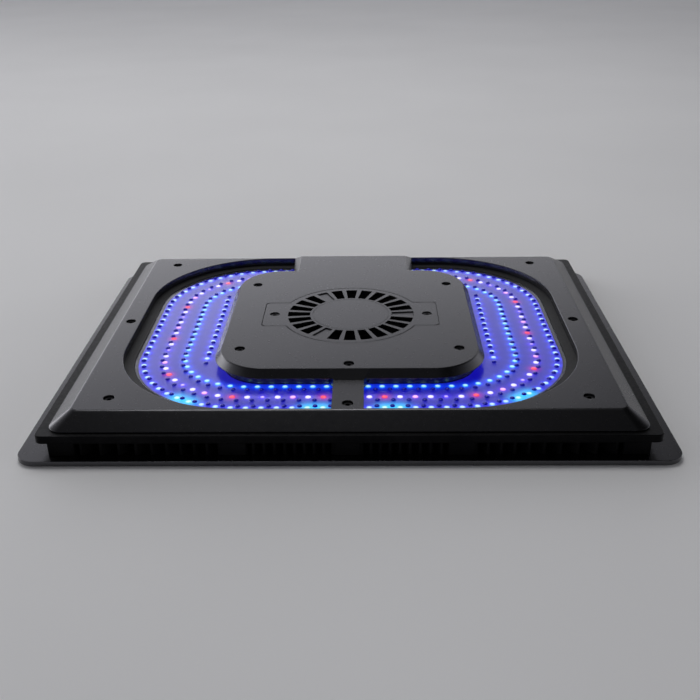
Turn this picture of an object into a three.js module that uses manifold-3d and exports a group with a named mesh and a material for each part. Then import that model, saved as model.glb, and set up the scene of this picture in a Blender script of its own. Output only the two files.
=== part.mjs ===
// LED aquarium light: a wide flat fixture that hangs over a tank. It is drawn lying on its back cover,
// light side up. Millimetres: X is the width, -Y the front edge, +Z the way the light shines.
import * as THREE from "three";
import { ConvexGeometry } from "three/addons/geometries/ConvexGeometry.js";
import { mergeVertices } from "three/addons/utils/BufferGeometryUtils.js";
import Module from "manifold-3d";

const wasm = await Module();
wasm.setup();

// ---------------------------------------------------------------- driving dimensions
const GAP = 0.3; // between pieces that touch
const OVER = 1; // how far a cutting tool runs past the face it cuts

const BACK = { width: 370, depth: 288, corner: 11, thick: 3.3, chamfer: 0.8, recess: 2.4 };
const SINK = { width: 346.5, depth: 277.5, corner: 4, bottom: 11.4, top: 16.2 };
const FINS = { width: 333.5, depth: 276, count: 164, thick: 2.2, longFrom: 58, shortFrom: 104, every: 3 };
const BLOCK = { size: 15.6, inset: 20, spread: 63.3 }; // solid bosses between the fins
const BAY_HALF = 26; // half the width of the fin-free bay for the sockets at the rear
const FAN_HOLE = 47.3;
const STANDOFF = { radius: 2.5, x: 56, y: 64 };
const LEAD_HOLE = { x: 0, y: 66, radius: 4 };

const FOOT = { width: 334.8, depth: 270.5, corner: 9, step: 0.6 };
const FACE = { width: 312.3, depth: 246.8, corner: 4, top: 24.4, round: 0.5 };
const WINDOW = { width: 285.4, depth: 244, corner: 80 };
const CORE = { width: 157, depth: 161, corner: 27 }; // opening in the lens and boards for the centre
const BOARD = { width: 268, depth: 224.8, corner: 70, bottom: 16.5, top: 17.3, split: 1 };
const LENS = { width: 272, depth: 228.8, corner: 72, bottom: 17.9, top: 18.9 };
const SURROUND = { width: 292.4, depth: 251, corner: 83.5, seat: 0.4 }; // seal that holds the lens's edge
const INNER_SEAL = 2;

const COVER = { width: 160, depth: 164, corner: 30, top: 29.1, flare: 4, lip: 0.6, roof: 3.1, edge: 0.4 };
const CAVITY = { width: 155, depth: 159, corner: 26 };
const REAR_BRIDGE = { top: 41, sideFront: 44.5, sideRear: 46, end: 114.5 };
const CABLE_WAY = { halfWidth: 36, end: 112 };
const FRONT_BRIDGE = { half: 9.1, rampHalf: 12.8, rampFoot: 88.3 };

const PANEL = { radius: 46.2, earX: 58.2, earY: 19.2, earCorner: 3, thick: 2, groove: 0.4 };
const PANEL_SCREW = { recess: 1.6, headThick: 0.6, length: 6.6 };
const SLOT = { inner: 27.4, outer: 42.3, count: 24, arc: 10.7, blockedEvery: 8, pocket: 0.7 };
const LEDGE_HOLE = 44;

const FAN = { bottom: 9, top: 25.7, outer: 45.5, inner: 43, hub: 19.5, hubThick: 1.7, strut: 5, struts: 3 };
const ROTOR = { hub: 19, wall: 2.4, low: 9.8, high: 22.4, floor: 1.6, boss: 3.4, tip: 41.5, blades: 7 };
const BLADE = { low: 10.6, high: 21.6, thick: 1.3, sweep: 26, narrowing: 4, lean: 14, flattening: 0.25 };
const SHAFT = { radius: 1.5, bore: 1.6, low: 11.7, high: 23.2 };
const BEARING = { radius: 3.9, tubeInner: 4.25, tubeOuter: 5.6, low: 12.7 };
const MAGNET = { inner: 14.2, outer: 16.2, low: 13.4, high: 21.6 };
const STATOR = { inner: 6, outer: 13.6, low: 14.4, high: 20.8, arms: 4, armWidth: 4, shoe: 8, rim: 2.4 };
const FAN_SCREW = { at: 35, head: 2.2, boss: 3, tip: 1.5 }; // tip is below the panel's face

const PCB = { width: 124, depth: 140, corner: 6, hole: 48.6, bottom: 18.2, top: 19.8 };
// Components on the control board: [width, depth, x, y, height], then round capacitors [radius, x, y].
const CHIPS = [[14, 10, -50, 58, 4.4], [10, 10, 48, 58, 1.6], [12, 8, 49, -60, 2], [16, 7, -2, 59, 5]];
const CAPACITORS = [[4.5, -50, -58], [3.2, -38, -62]];
const CAPACITOR_HEIGHT = 5.2;
const SOCKET = { width: 13, height: 7.2, depth: 16, low: 3.8, face: 137.4, spread: 13 };
const BARREL = { radius: 2.9, depth: 11, pin: 0.9, pinShort: 1.5 }; // power inlet
const PORT = { width: 9.2, height: 3.4, depth: 8.5, tongueWidth: 6.6, tongue: 0.8, tongueShort: 1.5 };
const LEAD = 1.6; // radius of the internal lead
const INSERT = { radius: 3, bore: 1.7, low: 0.2, high: 3, x: 150, y: 100 };

const FRAME_SCREWS = [[-137.3, -109], [137.3, -109], [-137.3, 109], [137.3, 109],
  [-149.4, 0], [149.4, 0], [0, -116.2]];
const COVER_SCREWS = [[-68.3, -54], [68.3, -54], [-68.3, 54], [68.3, 54], [0, -75.3]];
const PANEL_HOLES = [[-51.2, 0], [51.2, 0]];
const BACK_SCREWS = [[-63.3, -130], [63.3, -130], [-63.3, 130], [63.3, 130], [-157, 0], [157, 0]];
const SCREW = { head: 2.9, headThick: 1.6, shank: 1.5, hole: 1.85, sink: 3.3, recess: 3 };
const HOLE_FLOOR = 0.8; // left under the screws' blind holes in the heat sink
const POST = 3.6; // radius of the bosses that take the cover's screws
const EAR_POST = { radius: 3.4, floor: 1.5 };
const FRONT_POST = { radius: 3.2, clearance: 0.5 };

const ROUND = 8; // sides of a small hole or screw
const MEDIUM = 16; // sides of a shaft, a bearing or a socket's bore
const WHEEL = 48; // sides of a large circle
const ARC = 6; // steps round one corner

// ---------------------------------------------------------------- materials
const paint = (color, roughness, metalness = 0) =>
  new THREE.MeshStandardMaterial({ color, roughness, metalness });
const MATERIAL = {
  anodised: paint(0x2b2b2e, 0.35, 0.9),
  casting: paint(0x17171a, 0.6, 0.8),
  clear: paint(0xdfe6ff, 0.05),
  board: paint(0xe9ecf5, 0.3),
  circuit: paint(0x14532d, 0.5),
  plastic: paint(0x0c0c0e, 0.5),
  rubber: paint(0x0a0a0a, 0.9),
  screw: paint(0x1c1c1f, 0.35, 1),
  steel: paint(0x9a9ca0, 0.3, 1),
  brass: paint(0xb08d3c, 0.35, 1),
  magnet: paint(0x35322f, 0.6, 0.3),
};

// ---------------------------------------------------------------- outlines and solids
const rectangle = (w, d, x = 0, y = 0) => [
  new THREE.Vector2(x - w / 2, y - d / 2),
  new THREE.Vector2(x + w / 2, y - d / 2),
  new THREE.Vector2(x + w / 2, y + d / 2),
  new THREE.Vector2(x - w / 2, y + d / 2),
];

function arcPoints(x, y, radius, from, to, steps) {
  const points = [];
  for (let i = 0; i <= steps; i++) {
    const angle = from + ((to - from) * i) / steps;
    points.push(new THREE.Vector2(x + radius * Math.cos(angle), y + radius * Math.sin(angle)));
  }
  return points;
}

const circle = (radius, x = 0, y = 0, sides = ROUND) =>
  arcPoints(x, y, radius, 0, 2 * Math.PI, sides).slice(0, sides);

function rounded(w, d, radius, steps = ARC) {
  const x = w / 2 - radius;
  const y = d / 2 - radius;
  const quarter = Math.PI / 2;
  return [
    ...arcPoints(x, y, radius, 0, quarter, steps),
    ...arcPoints(-x, y, radius, quarter, 2 * quarter, steps),
    ...arcPoints(-x, -y, radius, 2 * quarter, 3 * quarter, steps),
    ...arcPoints(x, -y, radius, 3 * quarter, 4 * quarter, steps),
  ];
}

// A closed geometry becomes a solid: shared vertices merged, slivers dropped, faces turned outwards.
function solid(geometry) {
  const bare = geometry.clone();
  bare.deleteAttribute("normal");
  bare.deleteAttribute("uv");
  const merged = mergeVertices(bare, 1e-4);
  const at = merged.attributes.position;
  const corners = merged.index.array;
  const triangles = [];
  let volume = 0;
  const [a, b, c] = [new THREE.Vector3(), new THREE.Vector3(), new THREE.Vector3()];
  for (let i = 0; i < corners.length; i += 3) {
    const [p, q, r] = [corners[i], corners[i + 1], corners[i + 2]];
    if (p === q || q === r || r === p) continue;
    b.fromBufferAttribute(at, q).cross(c.fromBufferAttribute(at, r));
    volume += a.fromBufferAttribute(at, p).dot(b);
    triangles.push([p, q, r]);
  }
  const outward = triangles.flatMap((t) => (volume > 0 ? t : [t[0], t[2], t[1]]));
  return new wasm.Manifold(new wasm.Mesh({
    numProp: 3,
    vertProperties: new Float32Array(at.array),
    triVerts: new Uint32Array(outward),
  }));
}

// Straight prism of an outline between two heights.
function prism(outline, low, high, holes = []) {
  const shape = new THREE.Shape(outline);
  shape.holes = holes.map((hole) => new THREE.Path(hole));
  const body = new THREE.ExtrudeGeometry(shape, { depth: high - low, bevelEnabled: false });
  return solid(body.translate(0, 0, low));
}

// Solid skinned over convex rings of the same number of points, closed by a fan at each end.
function skin(rings) {
  const sides = rings[0].length;
  const corners = [];
  for (let ring = 0; ring + 1 < rings.length; ring++) {
    for (let i = 0; i < sides; i++) {
      const a = ring * sides + i;
      const b = ring * sides + ((i + 1) % sides);
      corners.push(a, b, b + sides, a, b + sides, a + sides);
    }
  }
  const last = (rings.length - 1) * sides;
  for (let i = 1; i + 1 < sides; i++) {
    corners.push(0, i + 1, i, last, last + i, last + i + 1);
  }
  const geometry = new THREE.BufferGeometry().setFromPoints(rings.flat());
  geometry.setIndex(corners);
  return solid(geometry);
}

// Stack of rounded rectangles, each [width, depth, corner, height], skinned into one solid.
const stack = (levels) =>
  skin(levels.map(([w, d, r, z]) => rounded(w, d, r).map((p) => new THREE.Vector3(p.x, p.y, z))));

// Solid of revolution about Z from [radius, height] pairs.
function turned(profile, x = 0, y = 0, sides = WHEEL) {
  const points = profile.map(([r, z]) => new THREE.Vector2(r, z));
  const body = new THREE.LatheGeometry(points, sides);
  return solid(body.rotateX(Math.PI / 2).translate(x, y, 0));
}

const hull = (points) => solid(new ConvexGeometry(points.map((p) => new THREE.Vector3(...p))));
const both = (points) => points.flatMap(([x, y, z]) => [[-x, y, z], [x, y, z]]);
const fourCorners = (x, y) => [[-x, -y], [x, -y], [-x, y], [x, y]];
const join = (pieces) => wasm.Manifold.union(pieces);
const cut = (body, tools) => body.subtract(join(tools));
const rod = (x, y, radius, low, high, sides = ROUND) => prism(circle(radius, x, y, sides), low, high);
const block = (w, d, x, y, low, high) => prism(rectangle(w, d, x, y), low, high);
const ring = (outer, inner, low, high, sides = WHEEL) =>
  prism(circle(outer, 0, 0, sides), low, high, [circle(inner, 0, 0, sides)]);
const turn = (body, degrees) => body.rotate([0, 0, degrees]);

const model = new THREE.Group();

function add(name, body, material) {
  const data = body.getMesh();
  const geometry = new THREE.BufferGeometry();
  geometry.setAttribute("position", new THREE.BufferAttribute(data.vertProperties, 3));
  geometry.setIndex(new THREE.BufferAttribute(data.triVerts, 1));
  const mesh = new THREE.Mesh(geometry, material);
  mesh.name = name;
  model.add(mesh);
}

// ---------------------------------------------------------------- back cover
// The top of the light in use: a thin plate with threaded inserts for the hanging kit.
const INSERTS = fourCorners(INSERT.x, INSERT.y);

function backCover() {
  const { width, depth, corner, thick, chamfer, recess } = BACK;
  const plate = stack([
    [width - 2 * chamfer, depth - 2 * chamfer, corner - chamfer, 0],
    [width, depth, corner, chamfer],
    [width, depth, corner, thick],
  ]);
  return cut(plate, [
    ...INSERTS.map(([x, y]) => rod(x, y, INSERT.radius + GAP, -OVER, thick + OVER)),
    ...BACK_SCREWS.map(([x, y]) => rod(x, y, SCREW.sink, -OVER, recess)),
    ...BACK_SCREWS.map(([x, y]) => rod(x, y, SCREW.hole, -OVER, thick + OVER)),
  ]);
}

// ---------------------------------------------------------------- heat sink
// One casting: the base plate that carries the boards, and fins that fan out from the fan to the rim.
function radialFins() {
  const low = BACK.thick + GAP;
  const high = SINK.bottom + OVER;
  const reach = Math.hypot(FINS.width, FINS.depth) / 2;
  const fins = [];
  for (let i = 0; i < FINS.count; i++) {
    const from = i % FINS.every === 0 ? FINS.longFrom : FINS.shortFrom;
    const blade = block(reach - from, FINS.thick, (reach + from) / 2, 0, low, high);
    fins.push(turn(blade, ((i + 0.5) * 360) / FINS.count));
  }
  const bounds = block(FINS.width, FINS.depth, 0, 0, low, high);
  const bayMiddle = FINS.longFrom + FINS.depth / 2;
  const bay = block(2 * BAY_HALF, FINS.depth, 0, bayMiddle, low - OVER, SINK.bottom);
  return cut(join(fins).intersect(bounds), [bay]);
}

function finBlocks() {
  const { size, inset, spread } = BLOCK;
  const x = (FINS.width - size) / 2;
  const y = (FINS.depth - inset) / 2;
  const places = [
    ...[-spread, 0, spread].map((at) => [at, -y]),
    ...[-spread, spread].map((at) => [at, y]),
    ...[-x, x].flatMap((side) => [[side, -y], [side, 0], [side, y]]),
  ];
  return places.map(([atX, atY]) => block(size, inset, atX, atY, BACK.thick + GAP, SINK.bottom + OVER));
}

function heatSink() {
  const plate = prism(rounded(SINK.width, SINK.depth, SINK.corner), SINK.bottom, SINK.top);
  const standoffs = fourCorners(STANDOFF.x, STANDOFF.y).map(([x, y]) =>
    rod(x, y, STANDOFF.radius, SINK.top - OVER, PCB.bottom - GAP));
  const casting = join([plate, radialFins(), ...finBlocks(), ...standoffs]);
  const tapped = [...FRAME_SCREWS, ...COVER_SCREWS];
  return cut(casting, [
    rod(0, 0, FAN_HOLE, BACK.thick, SINK.top + OVER, WHEEL),
    rod(LEAD_HOLE.x, LEAD_HOLE.y, LEAD_HOLE.radius, SINK.bottom - OVER, SINK.top + OVER),
    ...tapped.map(([x, y]) => rod(x, y, SCREW.hole, SINK.bottom + HOLE_FLOOR, SINK.top + OVER)),
    ...BACK_SCREWS.map(([x, y]) => rod(x, y, SCREW.hole, BACK.thick, SINK.bottom)),
  ]);
}

// ---------------------------------------------------------------- front bezel
// Sloping frame, raised centre over the fan, and the two bridges that join them, all one piece.
function frameShell() {
  const low = SINK.top + GAP;
  const slopeFrom = low + FOOT.step;
  const steep = (FOOT.width - FACE.width) / (FACE.top - slopeFrom);
  const shoulder = FACE.round * steep;
  return stack([
    [FOOT.width, FOOT.depth, FOOT.corner, low],
    [FOOT.width, FOOT.depth, FOOT.corner, slopeFrom],
    [FACE.width + shoulder, FACE.depth + shoulder, FACE.corner + FACE.round, FACE.top - FACE.round],
    [FACE.width - FACE.round, FACE.depth - FACE.round, FACE.corner, FACE.top],
  ]);
}

function centreShell() {
  const { width, depth, corner, top, flare, lip, edge } = COVER;
  return stack([
    [width, depth, corner, LENS.top + GAP],
    [width, depth, corner, FACE.top - lip],
    [width + 2 * flare, depth + 2 * flare, corner + flare, FACE.top - lip],
    [width + 2 * flare, depth + 2 * flare, corner + flare, FACE.top],
    [width + edge, depth + edge, corner, top - edge],
    [width - edge, depth - edge, corner - edge, top],
  ]);
}

function bridges() {
  const low = LENS.top + GAP;
  const start = COVER.depth / 2 - 2;
  const { top, sideFront, sideRear, end } = REAR_BRIDGE;
  const rim = FACE.depth / 2;
  const rear = hull(both([
    [top, start, COVER.top], [top, end, COVER.top], [sideFront, start, FACE.top],
    [sideRear, rim, FACE.top], [sideFront, start, low], [sideRear, rim, low],
  ]));
  const { half, rampHalf, rampFoot } = FRONT_BRIDGE;
  const front = block(2 * half, rim - start, 0, -(rim + start) / 2, low, FACE.top);
  const ramp = hull(both([
    [rampHalf, -start, COVER.top], [rampHalf, -COVER.depth / 2, COVER.top],
    [half, -rampFoot, FACE.top], [rampHalf, -start, low], [half, -rampFoot, low],
  ]));
  return [rear, front, ramp];
}

function panelOutline(grow) {
  const radius = PANEL.radius + grow;
  const x = PANEL.earX + grow;
  const y = PANEL.earY + grow;
  const corner = PANEL.earCorner;
  const meet = Math.asin(y / radius);
  const steps = WHEEL / 4;
  return [
    ...arcPoints(0, 0, radius, meet, Math.PI - meet, steps),
    ...arcPoints(-x + corner, y - corner, corner, Math.PI / 2, Math.PI, 2),
    ...arcPoints(-x + corner, -y + corner, corner, Math.PI, 1.5 * Math.PI, 2),
    ...arcPoints(0, 0, radius, Math.PI + meet, 2 * Math.PI - meet, steps),
    ...arcPoints(x - corner, -y + corner, corner, -Math.PI / 2, 0, 2),
    ...arcPoints(x - corner, y - corner, corner, 0, Math.PI / 2, 2),
  ];
}

function frontBezel() {
  const roofLow = COVER.top - COVER.roof;
  const panelLow = COVER.top - PANEL.thick - GAP;
  const lensSpace = LENS.top + GAP;
  const { width, depth, corner, seat } = SURROUND;
  const frame = cut(frameShell(), [
    prism(rounded(WINDOW.width, WINDOW.depth, WINDOW.corner, 2 * ARC), lensSpace - OVER, FACE.top + OVER),
    prism(rounded(width + 2 * seat, depth + 2 * seat, corner + seat, 2 * ARC), SINK.top - OVER, lensSpace),
  ]);
  const screwY = FRAME_SCREWS.at(-1)[1];
  const hollow = cut(join([frame, centreShell(), ...bridges()]), [
    prism(rounded(CAVITY.width, CAVITY.depth, CAVITY.corner), LENS.top, roofLow),
    block(2 * CABLE_WAY.halfWidth, CABLE_WAY.end, 0, CABLE_WAY.end / 2, LENS.top, roofLow),
    prism(panelOutline(PANEL.groove), panelLow, COVER.top + OVER),
    rod(0, 0, LEDGE_HOLE, roofLow - OVER, COVER.top + OVER, WHEEL),
  ]);
  const posts = COVER_SCREWS.map(([x, y]) => rod(x, y, POST, SINK.top + GAP, roofLow + OVER));
  const ears = PANEL_HOLES.map(([x, y]) => rod(x, y, EAR_POST.radius, PCB.top + GAP, roofLow + OVER));
  const frontPost = rod(0, screwY, FRONT_POST.radius, SINK.top + GAP, FACE.top - OVER);
  const sinks = (places, face) =>
    places.map(([x, y]) => rod(x, y, SCREW.sink, face - SCREW.recess, COVER.top + OVER));
  const through = [...FRAME_SCREWS, ...COVER_SCREWS];
  return cut(join([hollow, ...posts, ...ears, frontPost]), [
    ...sinks(FRAME_SCREWS, FACE.top),
    ...sinks(COVER_SCREWS, COVER.top),
    ...through.map(([x, y]) => rod(x, y, SCREW.hole, SINK.top, COVER.top + OVER)),
    ...PANEL_HOLES.map(([x, y]) => rod(x, y, SCREW.hole, PCB.top + EAR_POST.floor, COVER.top)),
  ]);
}

// ---------------------------------------------------------------- fan access panel
function accessPanel() {
  const low = COVER.top - PANEL.thick;
  const half = THREE.MathUtils.degToRad(SLOT.arc / 2);
  const sector = [
    ...arcPoints(0, 0, SLOT.outer, -half, half, 2),
    ...arcPoints(0, 0, SLOT.inner, half, -half, 1),
  ];
  const slots = [];
  for (let i = 0; i < SLOT.count; i++) {
    const floor = i % SLOT.blockedEvery === 0 ? COVER.top - SLOT.pocket : low - OVER;
    slots.push(turn(prism(sector, floor, COVER.top + OVER), (i * 360) / SLOT.count));
  }
  const bosses = fanScrews().map(([x, y]) => rod(x, y, FAN_SCREW.boss, FAN.top + GAP, low + GAP));
  const holeTop = COVER.top - FAN_SCREW.tip + GAP;
  return cut(join([prism(panelOutline(0), low, COVER.top), ...bosses]), [
    ...slots,
    ...fanScrews().map(([x, y]) => rod(x, y, SCREW.hole, FAN.top - OVER, holeTop)),
    ...PANEL_HOLES.map(([x, y]) => rod(x, y, SCREW.sink, COVER.top - PANEL_SCREW.recess, COVER.top + OVER)),
    ...PANEL_HOLES.map(([x, y]) => rod(x, y, SCREW.hole, low - OVER, COVER.top)),
  ]);
}

// ---------------------------------------------------------------- lens, seals and boards
const core = (low, high) => prism(rounded(CORE.width, CORE.depth, CORE.corner), low, high);

// Round notch for the post that takes the screw in the front bridge.
function postNotch(low, high) {
  const [x, y] = FRAME_SCREWS.at(-1);
  return rod(x, y, FRONT_POST.radius + FRONT_POST.clearance, low, high);
}

function lens() {
  const { width, depth, corner, bottom, top } = LENS;
  const sheet = prism(rounded(width, depth, corner, 2 * ARC), bottom, top);
  return cut(sheet, [core(bottom - OVER, top + OVER), postNotch(bottom - OVER, top + OVER)]);
}

// Rubber surround clamped under the frame. Its lip carries the edge of the lens.
function outerSeal() {
  const low = SINK.top + GAP;
  const { width, depth, corner } = SURROUND;
  const grown = (piece, from, to) =>
    prism(rounded(piece.width + 2 * GAP, piece.depth + 2 * GAP, piece.corner + GAP, 2 * ARC), from, to);
  return cut(prism(rounded(width, depth, corner, 2 * ARC), low, LENS.top), [
    grown(BOARD, low - OVER, LENS.top + OVER),
    grown(LENS, LENS.bottom - GAP, LENS.top + OVER),
    postNotch(low - OVER, LENS.top + OVER),
  ]);
}

function innerSeal() {
  const outer = rounded(CORE.width - 2 * GAP, CORE.depth - 2 * GAP, CORE.corner - GAP);
  const inset = GAP + INNER_SEAL;
  const inner = rounded(CORE.width - 2 * inset, CORE.depth - 2 * inset, CORE.corner - inset);
  const [x, y] = COVER_SCREWS.at(-1);
  return cut(prism(outer, SINK.top + GAP, LENS.top, [inner]), [
    rod(x, y, POST + GAP, SINK.top, LENS.top + OVER),
  ]);
}

function ledBoard(side) {
  const { width, depth, corner, bottom, top, split } = BOARD;
  const sheet = prism(rounded(width, depth, corner, 2 * ARC), bottom, top);
  const whole = cut(sheet, [core(bottom - OVER, top + OVER)]);
  const middle = (side * (width + split)) / 2;
  return whole.intersect(block(width, depth + OVER, middle, 0, bottom - OVER, top + OVER));
}

// ---------------------------------------------------------------- fan
function fanScrews() {
  const places = [];
  for (let i = 0; i < FAN.struts; i++) {
    const angle = (i * 2 * Math.PI) / FAN.struts;
    places.push([FAN_SCREW.at * Math.cos(angle), FAN_SCREW.at * Math.sin(angle)]);
  }
  return places;
}

function fanFrame() {
  const hubLow = FAN.top - FAN.hubThick;
  const middle = (FAN.inner + BEARING.tubeOuter) / 2;
  const length = FAN.inner + OVER - BEARING.tubeOuter;
  const struts = [];
  for (let i = 0; i < FAN.struts; i++) {
    struts.push(turn(block(length, FAN.strut, middle, 0, hubLow, FAN.top), (i * 360) / FAN.struts));
  }
  return cut(join([
    ring(FAN.outer, FAN.inner, FAN.bottom, FAN.top),
    rod(0, 0, FAN.hub, hubLow, FAN.top, WHEEL / 2),
    rod(0, 0, BEARING.tubeOuter, BEARING.low, hubLow + GAP, MEDIUM),
    ...struts,
  ]), [
    rod(0, 0, BEARING.tubeInner, BEARING.low - OVER, hubLow, MEDIUM),
    ...fanScrews().map(([x, y]) => rod(x, y, SCREW.hole, hubLow - OVER, FAN.top + OVER)),
  ]);
}

function fanStator() {
  const { inner, outer, low, high, arms, armWidth, shoe, rim } = STATOR;
  const star = [ring(inner + rim, inner, low, high, MEDIUM)];
  for (let i = 0; i < arms; i++) {
    const angle = (i * 360) / arms;
    star.push(turn(block(outer - inner, armWidth, (outer + inner) / 2, 0, low, high), angle));
    star.push(turn(block(rim, shoe, outer - rim, 0, low, high), angle));
  }
  return cut(join(star), [rod(0, 0, inner, low - OVER, high + OVER, MEDIUM)]);
}

// One fan blade, skinned over sections that turn from steep at the hub to flatter at the tip.
function fanBlade() {
  const { low, high, thick, sweep, narrowing, lean, flattening } = BLADE;
  const stations = 4;
  const root = ROTOR.hub - OVER;
  const section = [[-1, 0, 0], [1, 1, 0], [1, 1, 1], [-1, 0, 1]]; // [edge, lift, side of the sheet]
  const rings = [];
  for (let i = 0; i <= stations; i++) {
    const part = i / stations;
    const radius = root + part * (ROTOR.tip - root);
    const chord = THREE.MathUtils.degToRad(sweep - narrowing * part);
    const middle = THREE.MathUtils.degToRad(lean * part);
    const room = high - low - thick;
    const rise = room * (1 - flattening * part);
    const base = low + (room - rise) / 2;
    rings.push(section.map(([edge, lift, side]) => {
      const angle = middle + (edge * chord) / 2;
      const height = base + lift * rise + side * thick;
      return new THREE.Vector3(radius * Math.cos(angle), radius * Math.sin(angle), height);
    }));
  }
  return skin(rings);
}

function fanRotor() {
  const { hub, wall, low, high, floor, boss, blades } = ROTOR;
  const parts = [rod(0, 0, hub, low, high, WHEEL)];
  for (let i = 0; i < blades; i++) {
    parts.push(turn(fanBlade(), ((i + 0.5) * 360) / blades));
  }
  const cup = cut(join(parts), [rod(0, 0, hub - wall, low + floor, high + OVER, WHEEL)]);
  const seat = rod(0, 0, boss, low, low + floor + OVER, MEDIUM);
  return cut(join([cup, seat]), [rod(0, 0, SHAFT.radius + GAP, SHAFT.low - GAP, high, MEDIUM)]);
}

// ---------------------------------------------------------------- electronics
function controlBoard() {
  const { width, depth, corner, hole, bottom, top } = PCB;
  const under = top - GAP;
  return join([
    prism(rounded(width, depth, corner, 2), bottom, top, [circle(hole, 0, 0, WHEEL)]),
    ...CHIPS.map(([w, d, x, y, height]) => block(w, d, x, y, under, top + height)),
    ...CAPACITORS.map(([radius, x, y]) => rod(x, y, radius, under, top + CAPACITOR_HEIGHT, MEDIUM)),
  ]);
}

// Outer block of a socket; side is -1 for the left one and 1 for the right one.
function socketBlock(side) {
  const { width, height, depth, low, face, spread } = SOCKET;
  return block(width, depth, side * spread, face - depth / 2, low, low + height);
}

const SOCKET_MIDDLE = SOCKET.low + SOCKET.height / 2;

function powerInlet() {
  const { radius, depth, pin, pinShort } = BARREL;
  const floor = SOCKET.face - depth;
  const lengthwise = (size, from, to) => {
    const bar = new THREE.CylinderGeometry(size, size, to - from, MEDIUM);
    return solid(bar.translate(-SOCKET.spread, (from + to) / 2, SOCKET_MIDDLE));
  };
  return join([
    cut(socketBlock(-1), [lengthwise(radius, floor, SOCKET.face + OVER)]),
    lengthwise(pin, floor - OVER, SOCKET.face - pinShort),
  ]);
}

function controlSocket() {
  const { width, height, depth, tongueWidth, tongue, tongueShort } = PORT;
  const floor = SOCKET.face - depth;
  const slab = (w, tall, from, to) =>
    block(w, to - from, SOCKET.spread, (from + to) / 2, SOCKET_MIDDLE - tall / 2, SOCKET_MIDDLE + tall / 2);
  return join([
    cut(socketBlock(1), [slab(width, height, floor, SOCKET.face + OVER)]),
    slab(tongueWidth, tongue, floor - OVER, SOCKET.face - tongueShort),
  ]);
}

// Internal lead from the sockets, along the bay and up through the casting to the control board.
function supplyLead() {
  const start = SOCKET.face - SOCKET.depth - GAP;
  const z = SOCKET_MIDDLE;
  const { x, y } = LEAD_HOLE;
  const route = new THREE.CatmullRomCurve3([
    new THREE.Vector3(-SOCKET.spread, start, z),
    new THREE.Vector3(-SOCKET.spread, start - 12, z),
    new THREE.Vector3(-6, 90, z),
    new THREE.Vector3(x, y + 4, z + 0.6),
    new THREE.Vector3(x, y, z + 4),
    new THREE.Vector3(x, y, PCB.bottom - GAP),
  ]);
  const section = new THREE.Shape(circle(LEAD));
  return solid(new THREE.ExtrudeGeometry(section, { steps: 16, bevelEnabled: false, extrudePath: route }));
}

// ---------------------------------------------------------------- fasteners
// Low round head with a straight shank; length is negative for a screw that points up.
function screw(x, y, headTop, length, head = SCREW.head, headThick = SCREW.headThick) {
  const under = headTop - Math.sign(length) * headThick;
  return turned([
    [0, headTop],
    [head, headTop],
    [head, under],
    [SCREW.shank, under],
    [SCREW.shank, headTop - length],
    [0, headTop - length],
  ], x, y, ROUND);
}

// ---------------------------------------------------------------- assembly
add("back_cover", backCover(), MATERIAL.anodised);
add("heat_sink", heatSink(), MATERIAL.casting);
add("front_bezel", frontBezel(), MATERIAL.anodised);
add("fan_access_panel", accessPanel(), MATERIAL.anodised);
add("lens_cover", lens(), MATERIAL.clear);
add("lens_gasket_outer", outerSeal(), MATERIAL.rubber);
add("lens_gasket_inner", innerSeal(), MATERIAL.rubber);
add("led_board_left", ledBoard(-1), MATERIAL.board);
add("led_board_right", ledBoard(1), MATERIAL.board);

add("fan_frame", fanFrame(), MATERIAL.plastic);
const bearingTop = FAN.top - FAN.hubThick - GAP;
add("fan_bearing", ring(BEARING.radius, SHAFT.bore, BEARING.low, bearingTop, MEDIUM), MATERIAL.brass);
add("fan_stator", fanStator(), MATERIAL.steel);
add("fan_rotor", fanRotor(), MATERIAL.plastic);
add("fan_magnet_ring", ring(MAGNET.outer, MAGNET.inner, MAGNET.low, MAGNET.high), MATERIAL.magnet);
add("fan_shaft", rod(0, 0, SHAFT.radius, SHAFT.low, SHAFT.high, MEDIUM), MATERIAL.steel);

add("control_board", controlBoard(), MATERIAL.circuit);
add("power_inlet", powerInlet(), MATERIAL.plastic);
add("control_socket", controlSocket(), MATERIAL.plastic);
add("supply_lead", supplyLead(), MATERIAL.rubber);

const frameNames = ["front_left", "front_right", "rear_left", "rear_right", "left", "right", "front"];
const coverNames = ["front_left", "front_right", "rear_left", "rear_right", "front"];
const headDrop = SCREW.recess - SCREW.headThick - GAP;
const holeFloor = SINK.bottom + HOLE_FLOOR + GAP;
FRAME_SCREWS.forEach(([x, y], i) => {
  const top = FACE.top - headDrop;
  add(`frame_screw_${frameNames[i]}`, screw(x, y, top, top - holeFloor), MATERIAL.screw);
});
COVER_SCREWS.forEach(([x, y], i) => {
  const top = COVER.top - headDrop;
  add(`cover_screw_${coverNames[i]}`, screw(x, y, top, top - holeFloor), MATERIAL.screw);
});
PANEL_HOLES.forEach(([x, y], i) => {
  const { recess, headThick, length } = PANEL_SCREW;
  const body = screw(x, y, COVER.top - recess + headThick + GAP, length, SCREW.head, headThick);
  add(`panel_screw_${["left", "right"][i]}`, body, MATERIAL.screw);
});
BACK_SCREWS.forEach(([x, y], i) => {
  const top = BACK.recess - SCREW.headThick - GAP;
  add(`back_screw_${i + 1}`, screw(x, y, top, top - SINK.bottom + OVER), MATERIAL.screw);
});
fanScrews().forEach(([x, y], i) => {
  const head = FAN.top - FAN.hubThick - GAP - SCREW.headThick;
  const length = head - COVER.top + FAN_SCREW.tip;
  add(`fan_screw_${i + 1}`, screw(x, y, head, length, FAN_SCREW.head), MATERIAL.screw);
});
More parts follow.
